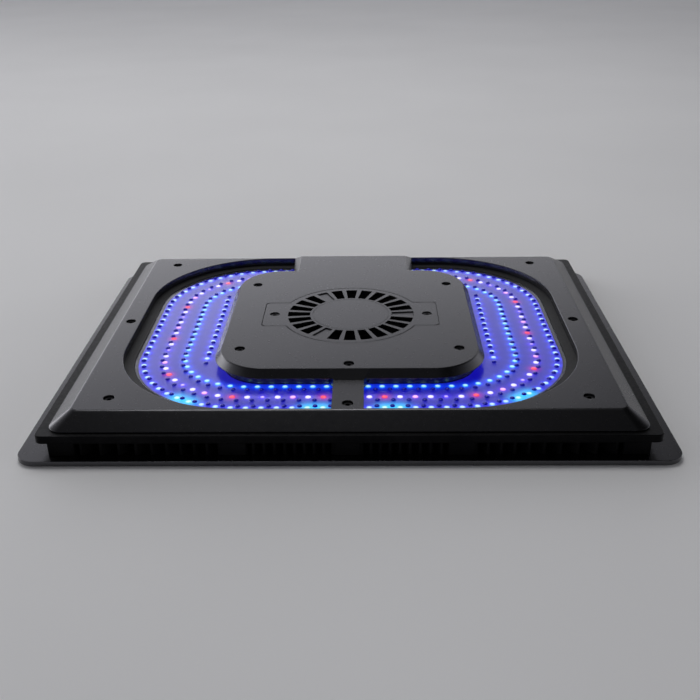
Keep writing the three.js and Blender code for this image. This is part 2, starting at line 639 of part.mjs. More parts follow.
INSERTS.forEach(([x, y], i) => {
  const bore = circle(INSERT.bore, x, y, MEDIUM);
  const sleeve = prism(circle(INSERT.radius, x, y, MEDIUM), INSERT.low, INSERT.high, [bore]);
  add(`hanging_insert_${i + 1}`, sleeve, MATERIAL.brass);
});

export default model;
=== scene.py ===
import math
import bmesh
import bpy
from mathutils import Matrix, Vector


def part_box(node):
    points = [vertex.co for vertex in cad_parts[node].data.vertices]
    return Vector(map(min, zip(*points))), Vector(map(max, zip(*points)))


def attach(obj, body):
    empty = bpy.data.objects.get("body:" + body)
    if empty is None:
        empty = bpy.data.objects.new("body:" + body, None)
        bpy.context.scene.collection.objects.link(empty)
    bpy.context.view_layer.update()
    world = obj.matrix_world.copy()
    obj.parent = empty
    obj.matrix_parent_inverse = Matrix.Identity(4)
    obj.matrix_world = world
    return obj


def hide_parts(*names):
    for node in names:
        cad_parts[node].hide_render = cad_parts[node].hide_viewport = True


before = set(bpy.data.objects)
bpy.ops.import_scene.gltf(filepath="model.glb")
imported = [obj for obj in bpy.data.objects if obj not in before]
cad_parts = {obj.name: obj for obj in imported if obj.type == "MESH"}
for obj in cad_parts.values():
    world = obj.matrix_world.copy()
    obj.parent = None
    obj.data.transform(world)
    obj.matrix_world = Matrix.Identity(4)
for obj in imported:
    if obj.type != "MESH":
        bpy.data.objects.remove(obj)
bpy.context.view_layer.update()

# The LED aquarium light, lying on its back cover with the light side up. The scene is in metres. The sizes
# below are in millimetres, in the frame's own axes: X the width, -Y the front edge, +Z out of the light.
MM = 0.001


class Extent:
    """A CAD node's box at rest, in millimetres."""

    def __init__(self, node):
        low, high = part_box(node)
        self.x0, self.y0, self.z0 = (v / MM for v in low)
        self.x1, self.y1, self.z1 = (v / MM for v in high)
        self.width = self.x1 - self.x0
        self.depth = self.y1 - self.y0
        self.x = (self.x0 + self.x1) / 2
        self.y = (self.y0 + self.y1) / 2


BACK = Extent("back_cover")
SINK = Extent("heat_sink")
BEZEL = Extent("front_bezel")
PANEL = Extent("fan_access_panel")
LENS = Extent("lens_cover")
SURROUND = Extent("lens_gasket_outer")
BOARD = Extent("led_board_left")

GAP = 0.3
SINK_PLATE = 4.8  # thickness of the casting's base plate
SINK_TOP = BEZEL.z0 - GAP
FOOT_STEP = 0.6  # height of the bezel's upright foot
FACE = {"width": 312.3, "depth": 246.8, "corner": 4, "top": 24.4}
WINDOW = {"width": 285.4, "depth": 244, "corner": 80}
CORE = {"width": 157, "depth": 161, "corner": 27}
COVER = {"width": 160, "depth": 164, "corner": 30, "flare": 4, "lip": 0.6, "roof": 3.1}
CAVITY = {"width": 155, "depth": 159, "corner": 26}
REAR_BRIDGE = {"top": 41, "side_front": 44.5, "side_rear": 46, "end": 114.5}
FRONT_BRIDGE = {"half": 9.1, "ramp_half": 12.8, "ramp_foot": 88.3}
PANEL_SHAPE = {"radius": 46.2, "ear_x": 58.2, "ear_y": 19.2, "ear_corner": 3, "groove": 0.45}
SLOT = {  # arc in degrees; a blocked slot is a pocket, with an island left standing in a moat
    "inner": 27.4, "outer": 42.3, "count": 24, "arc": 10.7, "blocked_every": 8, "pocket": 0.7, "moat": 0.35,
}
HUB_GROOVE = {"radius": 25.5, "half": 0.16, "deep": 0.3}
PANEL_PLATE = 2  # thickness of the fan access panel
LEDGE_HOLE = 44
FINS = {"width": 333.5, "depth": 276, "count": 164, "thick": 2.2, "long": 58, "short": 104, "every": 3}
BLOCK = {"size": 15.6, "inset": 20, "spread": 63.3}
FAN_HOLE = 47.3
BAY = 26  # half the width of the fin-free bay at the rear
HEAD = {  # the screws' heads and shanks, and the wells they lie in
    "sink": 3.3, "recess": 3, "back_recess": 2.4, "panel_recess": 1.6, "thick": 1.6, "panel_thick": 0.6,
    "shank": 1.5, "socket": 1.45, "edge": 0.3,
}
INSERT = {"radius": 3, "bore": 1.7, "hole": 3.3, "edge": 0.3}
STANDOFF = {"radius": 2.5, "x": 56, "y": 64}
POST = 3.6
LENS_CORNER = 72
BOARD_CORNER = 70
SURROUND_CORNER = 83.5
NOTCH = 3.7  # round the post of the screw in the front bridge


# ---------------------------------------------------------------- outlines
def arc(x, y, radius, start, end, steps):
    """Points of an arc, with its two ends, from start to end in quarter turns."""
    points = []
    for i in range(steps + 1):
        angle = (start + (end - start) * i / steps) * math.pi / 2
        points.append((x + radius * math.cos(angle), y + radius * math.sin(angle)))
    return points


def rounded(width, depth, radius, steps=10):
    """Rectangle with round corners, centred on the origin, going round anticlockwise."""
    x, y = width / 2 - radius, depth / 2 - radius
    corners = ((x, y), (-x, y), (-x, -y), (x, -y))
    return [p for i, (cx, cy) in enumerate(corners) for p in arc(cx, cy, radius, i, i + 1, steps)]


def circle(radius, x=0, y=0, sides=32):
    return arc(x, y, radius, 0, 4, sides)[:-1]


def rectangle(width, depth, x=0, y=0):
    w, d = width / 2, depth / 2
    return [(x - w, y - d), (x + w, y - d), (x + w, y + d), (x - w, y + d)]


def fillet(edge, steps=3):
    """(inset, drop) pairs of a rounded edge, from the side up to the top face."""
    quarter = [i * math.pi / 2 / steps for i in range(steps + 1)]
    return [(edge * (1 - math.cos(a)), edge * (1 - math.sin(a))) for a in quarter]


# ---------------------------------------------------------------- mesh code
def new_object(name, mesh):
    made = bpy.data.objects.new(name, mesh)
    bpy.context.scene.collection.objects.link(made)
    return made


def from_bmesh(name, bm):
    bmesh.ops.recalc_face_normals(bm, faces=bm.faces)
    mesh = bpy.data.meshes.new(name)
    bm.to_mesh(mesh)
    bm.free()
    return new_object(name, mesh)


def skin_into(bm, rings, closed=False):
    """Adds a skin over rings of points in millimetres. Its ends are capped, or joined if it is closed."""
    loops = [[bm.verts.new([c * MM for c in p]) for p in ring] for ring in rings]
    sides = len(loops[0])
    pairs = list(zip(loops, loops[1:]))
    if closed:
        pairs.append((loops[-1], loops[0]))
    for a, b in pairs:
        for i in range(sides):
            j = (i + 1) % sides
            bm.faces.new((a[i], a[j], b[j], b[i]))
    if not closed:
        bm.faces.new(loops[0][::-1])
        bm.faces.new(loops[-1])


def at_height(outline, z):
    return [(x, y, z) for x, y in outline]


def skin(name, rings, closed=False):
    bm = bmesh.new()
    skin_into(bm, rings, closed)
    return from_bmesh(name, bm)


def prism(name, outline, low, high):
    return skin(name, [at_height(outline, low), at_height(outline, high)])


def prisms(name, outlines, low, high):
    """Several separate prisms between the same two heights, in one mesh."""
    bm = bmesh.new()
    for outline in outlines:
        skin_into(bm, [at_height(outline, low), at_height(outline, high)])
    return from_bmesh(name, bm)


def stack(name, levels, steps=10):
    """Skin over rounded rectangles, each (width, depth, corner, height)."""
    return skin(name, [at_height(rounded(w, d, r, steps), z) for w, d, r, z in levels])


def turn_into(bm, profile, x=0, y=0, sides=32):
    """Adds a solid turned about a vertical axis, from (radius, height) pairs that begin and end on it."""
    rings = []
    for radius, z in profile:
        if radius == 0:
            rings.append([bm.verts.new((x * MM, y * MM, z * MM))])
        else:
            rings.append([bm.verts.new((px * MM, py * MM, z * MM)) for px, py in circle(radius, x, y, sides)])
    for a, b in zip(rings, rings[1:]):
        for i in range(sides):
            j = (i + 1) % sides
            corners = [a[i % len(a)], a[j % len(a)], b[j % len(b)], b[i % len(b)]]
            bm.faces.new(list(dict.fromkeys(corners)))


def turned(name, profiles, sides=32):
    """One or more solids of revolution, each (profile, x, y), in one mesh."""
    bm = bmesh.new()
    for profile, x, y in profiles:
        turn_into(bm, profile, x, y, sides)
    return from_bmesh(name, bm)


def hull(name, points):
    bm = bmesh.new()
    for p in points:
        bm.verts.new([c * MM for c in p])
    made = bmesh.ops.convex_hull(bm, input=bm.verts)
    bmesh.ops.delete(bm, geom=made["geom_unused"] + made["geom_interior"], context="VERTS")
    return from_bmesh(name, bm)


def boolean(target, tool, operation):
    """Applies one boolean to target and removes the tool."""
    step = target.modifiers.new("cut", "BOOLEAN")
    step.operation = operation
    step.solver = "EXACT"
    step.object = tool
    bpy.context.view_layer.update()
    done = target.evaluated_get(bpy.context.evaluated_depsgraph_get())
    mesh = bpy.data.meshes.new_from_object(done)
    target.modifiers.clear()
    old, target.data = target.data, mesh
    bpy.data.meshes.remove(old)
    tool_mesh = tool.data
    bpy.data.objects.remove(tool)
    bpy.data.meshes.remove(tool_mesh)
    return target


def cut(target, *tools):
    for tool in tools:
        boolean(target, tool, "DIFFERENCE")
    return target


def join(target, *others):
    for other in others:
        boolean(target, other, "UNION")
    return target


def merge(target, *others):
    """Puts separate bodies in one mesh, without a boolean."""
    bm = bmesh.new()
    for part in (target, *others):
        bm.from_mesh(part.data)
    bm.to_mesh(target.data)
    bm.free()
    for part in others:
        mesh = part.data
        bpy.data.objects.remove(part)
        bpy.data.meshes.remove(mesh)
    return target


def finish_piece(obj, material, body="housing", nodes=(), sharp=32):
    """Shades a made piece, gives it its material and ties it to the frame."""
    bm = bmesh.new()
    bm.from_mesh(obj.data)
    bmesh.ops.remove_doubles(bm, verts=bm.verts, dist=0.002 * MM)
    bmesh.ops.dissolve_degenerate(bm, edges=bm.edges, dist=0.002 * MM)
    bm.to_mesh(obj.data)
    bm.free()
    obj.data.shade_smooth()
    obj.data.set_sharp_from_angle(angle=math.radians(sharp))
    weighted = obj.modifiers.new("even_shading", "WEIGHTED_NORMAL")
    weighted.keep_sharp = True
    weighted.weight = 80
    obj.data.materials.clear()
    obj.data.materials.append(material)
    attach(obj, body)
    if nodes:
        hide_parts(*nodes)
    return obj


# ---------------------------------------------------------------- materials
def material(name, color, roughness, metallic=0.0, **sockets):
    """Principled material and a small kit for adding procedural detail to it."""
    made = bpy.data.materials.new(name)
    made.use_nodes = True
    shader = made.node_tree.nodes["Principled BSDF"]
    shader.inputs["Base Color"].default_value = (*color, 1)
    shader.inputs["Roughness"].default_value = roughness
    shader.inputs["Metallic"].default_value = metallic
    for socket, value in sockets.items():
        shader.inputs[socket.replace("_", " ")].default_value = value
    return made


def noise(mat, scale, detail=3, stretch=(1, 1, 1)):
    """Noise over the object's own coordinates. scale is the number of grains in a metre."""
    nodes, links = mat.node_tree.nodes, mat.node_tree.links
    place = nodes.new("ShaderNodeTexCoord")
    squeeze = nodes.new("ShaderNodeMapping")
    squeeze.inputs["Scale"].default_value = stretch
    grain = nodes.new("ShaderNodeTexNoise")
    grain.inputs["Scale"].default_value = scale
    grain.inputs["Detail"].default_value = detail
    links.new(place.outputs["Object"], squeeze.inputs["Vector"])
    links.new(squeeze.outputs["Vector"], grain.inputs["Vector"])
    return grain.outputs["Fac"]


def ramp(mat, value, low, high, start=0.3, end=0.7):
    """Colour ramp driven by value, from low to high."""
    nodes, links = mat.node_tree.nodes, mat.node_tree.links
    step = nodes.new("ShaderNodeValToRGB")
    step.color_ramp.elements[0].position = start
    step.color_ramp.elements[0].color = (*low, 1)
    step.color_ramp.elements[1].position = end
    step.color_ramp.elements[1].color = (*high, 1)
    links.new(value, step.inputs["Fac"])
    return step.outputs["Color"]


def into(mat, output, socket):
    shader = mat.node_tree.nodes["Principled BSDF"]
    mat.node_tree.links.new(output, shader.inputs[socket])


def grey(level):
    return (level, level, level)


def bump(mat, value, strength, distance):
    """Bump of the given depth, in millimetres."""
    nodes, links = mat.node_tree.nodes, mat.node_tree.links
    relief = nodes.new("ShaderNodeBump")
    relief.inputs["Strength"].default_value = strength
    relief.inputs["Distance"].default_value = distance * MM
    links.new(value, relief.inputs["Height"])
    into(mat, relief.outputs["Normal"], "Normal")


def anodised():
    """Aluminium anodised charcoal, with a satin finish."""
    made = material("anodised_aluminium", (0.075, 0.075, 0.08), 0.26, 1.0)
    into(made, ramp(made, noise(made, 12, 3), (0.072, 0.072, 0.077), (0.078, 0.078, 0.083)), "Base Color")
    into(made, ramp(made, noise(made, 420, 4), grey(0.25), grey(0.275)), "Roughness")
    return made


def cast_metal():
    """Black die casting with a rough skin. Its base colour is darker than real black metal: painted shade for
    the shadow under the base plate.
    """
    made = material("black_casting_painted_shade", (0.006, 0.006, 0.0065), 0.5, 1.0)
    into(made, ramp(made, noise(made, 60, 5), (0.005, 0.005, 0.0055), (0.008, 0.008, 0.0085)), "Base Color")
    into(made, ramp(made, noise(made, 500, 4), grey(0.42), grey(0.6)), "Roughness")
    bump(made, noise(made, 1500, 3), 0.3, 0.05)
    return made


def clear_cover():
    """Clear acrylic with a faint surface haze. Its IOR is below the real 1.49 and its reflection is tinted
    blue, so that the pale room does not wash out the boards."""
    made = material("clear_acrylic", (0.97, 0.98, 1.0), 0.03, 0.0, Transmission_Weight=1.0, IOR=1.3,
                    Specular_Tint=(0.62, 0.6, 1.0, 1))
    into(made, ramp(made, noise(made, 18, 4), grey(0.015), grey(0.05)), "Roughness")
    return made


def board_material():
    """Board lit by its emitters. The deep blue glow that falls off away from each of them is held in the
    mesh as "glow", not cast by them; the base is nearly black, so that the room adds little to it."""
    made = material("lit_board", (0.03, 0.03, 0.06), 0.45)
    nodes, links = made.node_tree.nodes, made.node_tree.links
    glow = nodes.new("ShaderNodeVertexColor")
    glow.layer_name = "glow"
    into(made, glow.outputs["Color"], "Emission Color")
    made.node_tree.nodes["Principled BSDF"].inputs["Emission Strength"].default_value = 1.0
    into(made, ramp(made, noise(made, 900, 2), (0.026, 0.026, 0.05), (0.036, 0.036, 0.07)), "Base Color")
    bump(made, noise(made, 1800, 2), 0.2, 0.02)
    return made


def emitter(name, rim):
    """Lit emitter: a white-hot middle that falls off to its own colour, held in the mesh as "glow"."""
    made = material(name, [0.3 * c for c in rim], 0.3)
    nodes, links = made.node_tree.nodes, made.node_tree.links
    glow = nodes.new("ShaderNodeVertexColor")
    glow.layer_name = "glow"
    into(made, glow.outputs["Color"], "Emission Color")
    made.node_tree.nodes["Principled BSDF"].inputs["Emission Strength"].default_value = 1.0
    grain = noise(made, 2500, 2)
    into(made, ramp(made, grain, [0.25 * c for c in rim], [0.35 * c for c in rim]), "Base Color")
    into(made, ramp(made, grain, grey(0.25), grey(0.35)), "Roughness")
    return made


def plain(name, color, rough, metallic=0.0, grain=800, depth=0.02, spread=0.2):
    """Moulded plastic, rubber or metal with fine grain and slight unevenness."""
    made = material(name, color, rough, metallic)
    dark = [c * (1 - spread) for c in color]
    light = [c * (1 + spread) for c in color]
    into(made, ramp(made, noise(made, grain / 6, 4), dark, light), "Base Color")
    into(made, ramp(made, noise(made, grain, 3), grey(rough * 0.85), grey(min(1, rough * 1.15))), "Roughness")
    bump(made, noise(made, grain * 2, 2), 0.2, depth)
    return made


ANODISED = anodised()
CASTING = cast_metal()
CLEAR = clear_cover()
LIT_BOARD = board_material()
DARK_DOME = plain("dark_dome", (0.003, 0.003, 0.04), 0.15)
# a faint even glow stands for the blue light that the domes pick up
DARK_DOME.node_tree.nodes["Principled BSDF"].inputs["Emission Color"].default_value = (0, 0, 0.22, 1)
DARK_DOME.node_tree.nodes["Principled BSDF"].inputs["Emission Strength"].default_value = 1.0
SCREW = plain("black_screw", (0.03, 0.03, 0.032), 0.32, 1.0, 1500)
PLASTIC = plain("black_plastic", (0.012, 0.012, 0.013), 0.45)
RUBBER = plain("black_rubber", (0.01, 0.01, 0.01), 0.8)
SEAL = plain("seal_rubber", (0.006, 0.006, 0.007), 0.6, grain=1200)
STEEL = plain("bright_steel", (0.55, 0.56, 0.58), 0.28, 1.0, 1500)
BRASS = plain("insert_brass", (0.62, 0.42, 0.16), 0.3, 1.0, 1500)
MAGNET = plain("magnet", (0.05, 0.046, 0.042), 0.55, 0.3)
COPPER = plain("copper_winding", (0.6, 0.24, 0.1), 0.35, 1.0)
CIRCUIT = plain("circuit_green", (0.01, 0.07, 0.025), 0.4)


# ---------------------------------------------------------------- camera and studio
EYE = (12.5, -580.3, 279.3)
PITCH, YAW, ROLL = 0.4457, -0.0231, -0.0146
FOCAL = 48.2  # on a sensor 36 mm wide


def add_camera():
    ahead = Vector((math.sin(YAW) * math.cos(PITCH), math.cos(YAW) * math.cos(PITCH), -math.sin(PITCH)))
    right = Vector((math.cos(YAW), -math.sin(YAW), 0))
    down = ahead.cross(right)
    level = Matrix((right, -down, -ahead)).transposed()
    turn = Matrix.Rotation(ROLL, 3, "Z")
    data = bpy.data.cameras.new("camera")
    data.lens = FOCAL
    data.sensor_width = 36
    camera = new_object("camera", data)
    camera.matrix_world = Matrix.Translation([c * MM for c in EYE]) @ (level @ turn).to_4x4()
    data.clip_start = 0.01
    bpy.context.scene.camera = camera


def area_light(name, place, aim, size, power, color=(1, 1, 1)):
    data = bpy.data.lights.new(name, "AREA")
    data.shape = "RECTANGLE"
    data.size, data.size_y = size
    data.energy = power
    data.color = color
    lamp = new_object(name, data)
    lamp.location = place
    lamp.rotation_euler = (Vector(aim) - Vector(place)).to_track_quat("-Z", "Y").to_euler()
    return lamp


def studio():
    """Pale floor, a soft room that is brightest low down at the rear left, and two softboxes."""
    bm = bmesh.new()
    bmesh.ops.create_grid(bm, x_segments=8, y_segments=8, size=6)
    floor = from_bmesh("floor", bm)
    floor.location.z = -0.0005
    pale = material("pale_floor", grey(0.85), 0.6)
    into(pale, ramp(pale, noise(pale, 3, 2), grey(0.83), grey(0.87)), "Base Color")
    floor.data.materials.append(pale)

    world = bpy.data.worlds.new("soft_studio")
    bpy.context.scene.world = world
    world.use_nodes = True
    nodes, links = world.node_tree.nodes, world.node_tree.links
    place = nodes.new("ShaderNodeTexCoord")

    def gradient(direction, shift, levels):
        """Brightness over the dot product of the looking direction with the given one."""
        along = nodes.new("ShaderNodeVectorMath")
        along.operation = "DOT_PRODUCT"
        along.inputs[1].default_value = direction
        shade = nodes.new("ShaderNodeValToRGB")
        stops = shade.color_ramp.elements
        for at, level in levels:
            stops.new(at).color = (level, level, level * 1.03, 1)
        stops.remove(stops[0])
        stops.remove(stops[-1])
        links.new(place.outputs["Generated"], along.inputs[0])
        add = nodes.new("ShaderNodeMath")
        add.inputs[1].default_value = shift
        links.new(along.outputs["Value"], add.inputs[0])
        links.new(add.outputs["Value"], shade.inputs["Fac"])
        return shade.outputs["Color"]

    def blend(kind, a, b):
        both = nodes.new("ShaderNodeMixRGB")
        both.blend_type = kind
        both.inputs["Fac"].default_value = 1.0
        links.new(a, both.inputs["Color1"])
        links.new(b, both.inputs["Color2"])
        return both.outputs["Color"]

    # brightest low down at the rear left, fainter low down all round; dark overhead and at the rear right
    rear = gradient((0.3, -0.35, 1), 0.36, (
        (0.04, 0.8), (0.13, 2.7), (0.25, 1.3), (0.36, 1.0), (0.42, 0.84), (0.46, 0.6), (0.52, 0.38),
        (0.61, 0.32),
        (0.8, 0.22), (0.9, 0.06)))
    low = gradient((0, 0, 1), 0.0, (
        (0.05, 1.3), (0.2, 1.1), (0.33, 0.75), (0.44, 0.42), (0.54, 0.12), (0.62, 0.04)))
    right = gradient((1, 0, 0), 0.0, ((0.2, 1.0), (0.4, 0.22), (0.6, 0.22), (0.8, 0.9)))
    room = blend("MULTIPLY", blend("LIGHTEN", rear, low), right)
    links.new(room, nodes["Background"].inputs["Color"])
    nodes["Background"].inputs["Strength"].default_value = 1.0
    area_light("left_softbox", (-2.2, 0.9, 0.5), (0, 0, 0), (2.0, 0.8), 7)
    area_light("rear_softbox", (-0.2, 0.75, 1.9), (0, 0, 0), (1.0, 0.6), 10)


add_camera()
studio()


# ---------------------------------------------------------------- screw places
FRAME_SCREWS = {
    "front_left": (-137.3, -109), "front_right": (137.3, -109), "rear_left": (-137.3, 109),
    "rear_right": (137.3, 109), "left": (-149.4, 0), "right": (149.4, 0), "front": (0, -116.2),
}
COVER_SCREWS = {
    "front_left": (-68.3, -54), "front_right": (68.3, -54), "rear_left": (-68.3, 54),
    "rear_right": (68.3, 54), "front": (0, -75.3),
}


def centre(node):
    box = Extent(node)
    return box.x, box.y


def well(radius, floor, top, edge=0.25):
    """Profile of the tool that sinks a round hole with a softened mouth."""
    mouth = [(radius + inset, top - drop) for inset, drop in fillet(edge)]
    return [(0, floor), (radius, floor), *mouth, (radius + edge, top + 2), (0, top + 2)]


# ---------------------------------------------------------------- front bezel
def bezel_shell():
    low = BEZEL.z0
    slope_from = low + FOOT_STEP
    corner = 9
    top, width, depth = FACE["top"], FACE["width"], FACE["depth"]
    edge = 0.9
    rise = top - slope_from
    run_x = (BEZEL.width - width) / rise
    run_y = (BEZEL.depth - depth) / rise
    levels = [
        (BEZEL.width - 0.5, BEZEL.depth - 0.5, corner, low),
        (BEZEL.width, BEZEL.depth, corner, low + 0.2),
        (BEZEL.width, BEZEL.depth, corner, slope_from - 0.15),
        (BEZEL.width - 0.3, BEZEL.depth - 0.3, corner, slope_from + 0.1),
        (width + edge * run_x, depth + edge * run_y, FACE["corner"] + 1, top - edge),
        (width + edge * run_x * 0.45, depth + edge * run_y * 0.45, FACE["corner"] + 0.6, top - edge * 0.5),
        (width, depth, FACE["corner"] + 0.3, top - edge * 0.14),
        (width - edge * 1.4, depth - edge * 1.4, FACE["corner"], top),
    ]
    return stack("bezel", levels)


def window_tool():
    top, w, d, r = FACE["top"], WINDOW["width"], WINDOW["depth"], WINDOW["corner"]
    edge = 0.5
    mouth = [(w + 2 * i, d + 2 * i, r + i, top - drop) for i, drop in fillet(edge)]
    levels = [(w, d, r, LENS.z1 - 1), *mouth, (w + 2 * edge, d + 2 * edge, r + edge, top + 2)]
    return stack("window", levels, 24)


def centre_shell():
    w, d, r, flare = COVER["width"], COVER["depth"], COVER["corner"], COVER["flare"]
    top = BEZEL.z1
    low = LENS.z1 + GAP
    under = FACE["top"] - COVER["lip"]
    edge = 0.7
    rise = top - FACE["top"]
    lean = flare / rise
    levels = [
        (w, d, r, low),
        (w, d, r, under),
        (w + 2 * flare - 0.3, d + 2 * flare - 0.3, r + flare, under),
        (w + 2 * flare, d + 2 * flare, r + flare, under + 0.15),
        (w + 2 * flare, d + 2 * flare, r + flare, FACE["top"] - 0.1),
        (w + 2 * flare - 0.3, d + 2 * flare - 0.3, r + flare, FACE["top"] + 0.15),
        (w + 2 * lean * edge, d + 2 * lean * edge, r, top - edge),
        (w + lean * edge * 0.8, d + lean * edge * 0.8, r - 0.2, top - edge * 0.45),
        (w, d, r - 0.4, top - edge * 0.12),
        (w - 1.2 * edge, d - 1.2 * edge, r - 1, top),
    ]
    return stack("centre", levels, 14)


def mirrored(points):
    return [(s * x, y, z) for x, y, z in points for s in (-1, 1)]


def bridges():
    low = LENS.z1 + GAP
    start = COVER["depth"] / 2 - 2
    top, face = BEZEL.z1, FACE["top"]
    rim = FACE["depth"] / 2 - 0.7
    b = REAR_BRIDGE
    soft = 0.6
    rear = hull("rear_bridge", mirrored([
        (b["top"] - soft, start, top), (b["top"] + 0.2, start, top - soft),
        (b["top"] - soft, b["end"] - soft, top), (b["top"] + 0.2, b["end"], top - soft),
        (b["side_front"], start, face), (b["side_rear"], rim, face),
        (b["side_front"], start, low), (b["side_rear"], rim, low),
    ]))
    f = FRONT_BRIDGE
    front = prism("front_bridge", rectangle(2 * f["half"], rim - start, 0, -(rim + start) / 2), low, face)
    ramp_piece = hull("ramp", mirrored([
        (f["ramp_half"], -start, top - 0.1), (f["ramp_half"], -COVER["depth"] / 2, top - 0.1),
        (f["half"], -f["ramp_foot"], face), (f["ramp_half"], -start, low), (f["half"], -f["ramp_foot"], low),
    ]))
    return rear, front, ramp_piece


def panel_outline(grow, steps=24):
    s = PANEL_SHAPE
    radius, x, y, corner = s["radius"] + grow, s["ear_x"] + grow, s["ear_y"] + grow, s["ear_corner"]
    meet = math.asin(y / radius) / (math.pi / 2)
    return [
        *arc(0, 0, radius, meet, 2 - meet, steps),
        *arc(-x + corner, y - corner, corner, 1, 2, 5),
        *arc(-x + corner, -y + corner, corner, 2, 3, 5),
        *arc(0, 0, radius, 2 + meet, 4 - meet, steps),
        *arc(x - corner, -y + corner, corner, 3, 4, 5),
        *arc(x - corner, y - corner, corner, 0, 1, 5),
    ]


def front_bezel():
    roof = BEZEL.z1 - COVER["roof"]
    top = BEZEL.z1
    lens_space = LENS.z1 + GAP
    shell = bezel_shell()
    seat_outline = rounded(SURROUND.width + 0.8, SURROUND.depth + 0.8, SURROUND_CORNER + 0.4, 24)
    seat = prism("seat", seat_outline, BEZEL.z0 - 1, lens_space)
    cut(shell, window_tool(), seat)
    join(shell, centre_shell(), *bridges())
    cavity = prism("cavity", rounded(CAVITY["width"], CAVITY["depth"], CAVITY["corner"]), LENS.z1 - 1, roof)
    way = prism("way", rectangle(72, 112, 0, 56), LENS.z1 - 1.5, roof - 0.01)
    groove = PANEL_SHAPE["groove"]
    recess = skin("recess", [
        at_height(panel_outline(groove), top - PANEL_PLATE - GAP),
        at_height(panel_outline(groove), top - 0.15),
        at_height(panel_outline(groove + 0.15), top),
        at_height(panel_outline(groove + 0.15), top + 2),
    ])
    ledge = prism("ledge", circle(LEDGE_HOLE, sides=96), roof - 1, top + 1)
    cut(shell, cavity, way, recess, ledge)
    floor = HEAD["recess"]
    wells = [(well(HEAD["sink"], FACE["top"] - floor, FACE["top"]), x, y) for x, y in FRAME_SCREWS.values()]
    wells += [(well(HEAD["sink"], top - floor, top), x, y) for x, y in COVER_SCREWS.values()]
    posts = [
        ([(0, BEZEL.z0), (POST, BEZEL.z0), (POST, roof + 0.5), (0, roof + 0.5)], x, y)
        for x, y in COVER_SCREWS.values()
    ]
    join(shell, turned("posts", posts, 24))
    cut(shell, turned("wells", wells, 32))
    return finish_piece(shell, ANODISED, nodes=("front_bezel",), sharp=27)


# ---------------------------------------------------------------- fan access panel
def sector(angle, half, inner, outer):
    """Slot outline between two radii, angles in degrees."""
    quarter = 1 / 90
    a, b = (angle - half) * quarter, (angle + half) * quarter
    return arc(0, 0, outer, a, b, 4) + arc(0, 0, inner, b, a, 3)


def access_panel():
    top, low = PANEL.z1, PANEL.z1 - PANEL_PLATE
    plate = skin("access_panel", [
        at_height(panel_outline(-0.1), low),
        at_height(panel_outline(0), low + 0.1),
        at_height(panel_outline(0), top - 0.2),
        at_height(panel_outline(-0.06), top - 0.06),
        at_height(panel_outline(-0.2), top),
    ])
    half, inner, outer, moat = SLOT["arc"] / 2, SLOT["inner"], SLOT["outer"], SLOT["moat"]
    slots, blocked, islands = [], [], []
    for i in range(SLOT["count"]):
        angle = i * 360 / SLOT["count"]
        if i % SLOT["blocked_every"]:
            slots.append(sector(angle, half, inner, outer))
        else:
            margin = math.degrees(moat / ((inner + outer) / 2))
            blocked.append(sector(angle, half, inner, outer))
            islands.append(sector(angle, half - margin, inner + moat, outer - moat))
    pockets = prisms("pockets", blocked, top - 1.6, top + 1)
    boolean(pockets, prisms("islands", islands, top - 3, top - SLOT["pocket"]), "DIFFERENCE")
    cut(plate, prisms("slots", slots, low - 1, top + 1), pockets)
    ring_at, half_width, deep = HUB_GROOVE["radius"], HUB_GROOVE["half"], HUB_GROOVE["deep"]
    groove = skin("hub_groove", [
        at_height(circle(ring_at - half_width, sides=96), top - deep),
        at_height(circle(ring_at - half_width, sides=96), top + 1),
        at_height(circle(ring_at + half_width, sides=96), top + 1),
        at_height(circle(ring_at + half_width, sides=96), top - deep),
    ], closed=True)
    screw_well = well(HEAD["sink"], top - HEAD["panel_recess"], top, 0.2)
    screw_wells = [(screw_well, *centre(f"panel_screw_{side}")) for side in ("left", "right")]
    cut(plate, groove, turned("wells", screw_wells, 32))
    return finish_piece(plate, ANODISED, nodes=("fan_access_panel",))


# ---------------------------------------------------------------- back cover and heat sink
def back_cover():
    w, d, low, high = BACK.width, BACK.depth, BACK.z0, BACK.z1
    r, edge = 11, 0.8
    round_over = fillet(edge)
    levels = [(w - 2 * i, d - 2 * i, r - i, low + drop) for i, drop in reversed(round_over)]
    soft = 0.35
    levels += [(w - 2 * i, d - 2 * i, r - i, high - drop) for i, drop in fillet(soft)]
    plate = stack("back_plate", levels, 12)
    tools = []
    for i in range(6):
        x, y = centre(f"back_screw_{i + 1}")
        tools.append(([(0, low - 2), (HEAD["sink"] + 0.3, low - 2), (HEAD["sink"] + 0.3, low),
                       (HEAD["sink"], low + 0.3), (HEAD["sink"], low + HEAD["back_recess"]),
                       (0, low + HEAD["back_recess"])],
                      x, y))
    for i in range(4):
        x, y = centre(f"hanging_insert_{i + 1}")
        hole, mouth = INSERT["hole"], INSERT["edge"]
        tools.append(([(0, low - 2), (hole + mouth, low - 2), (hole + mouth, low),
                       (hole, low + mouth), (hole, high + 1), (0, high + 1)],
                      x, y))
    cut(plate, turned("holes", tools, 32))
    return finish_piece(plate, ANODISED, nodes=("back_cover",))


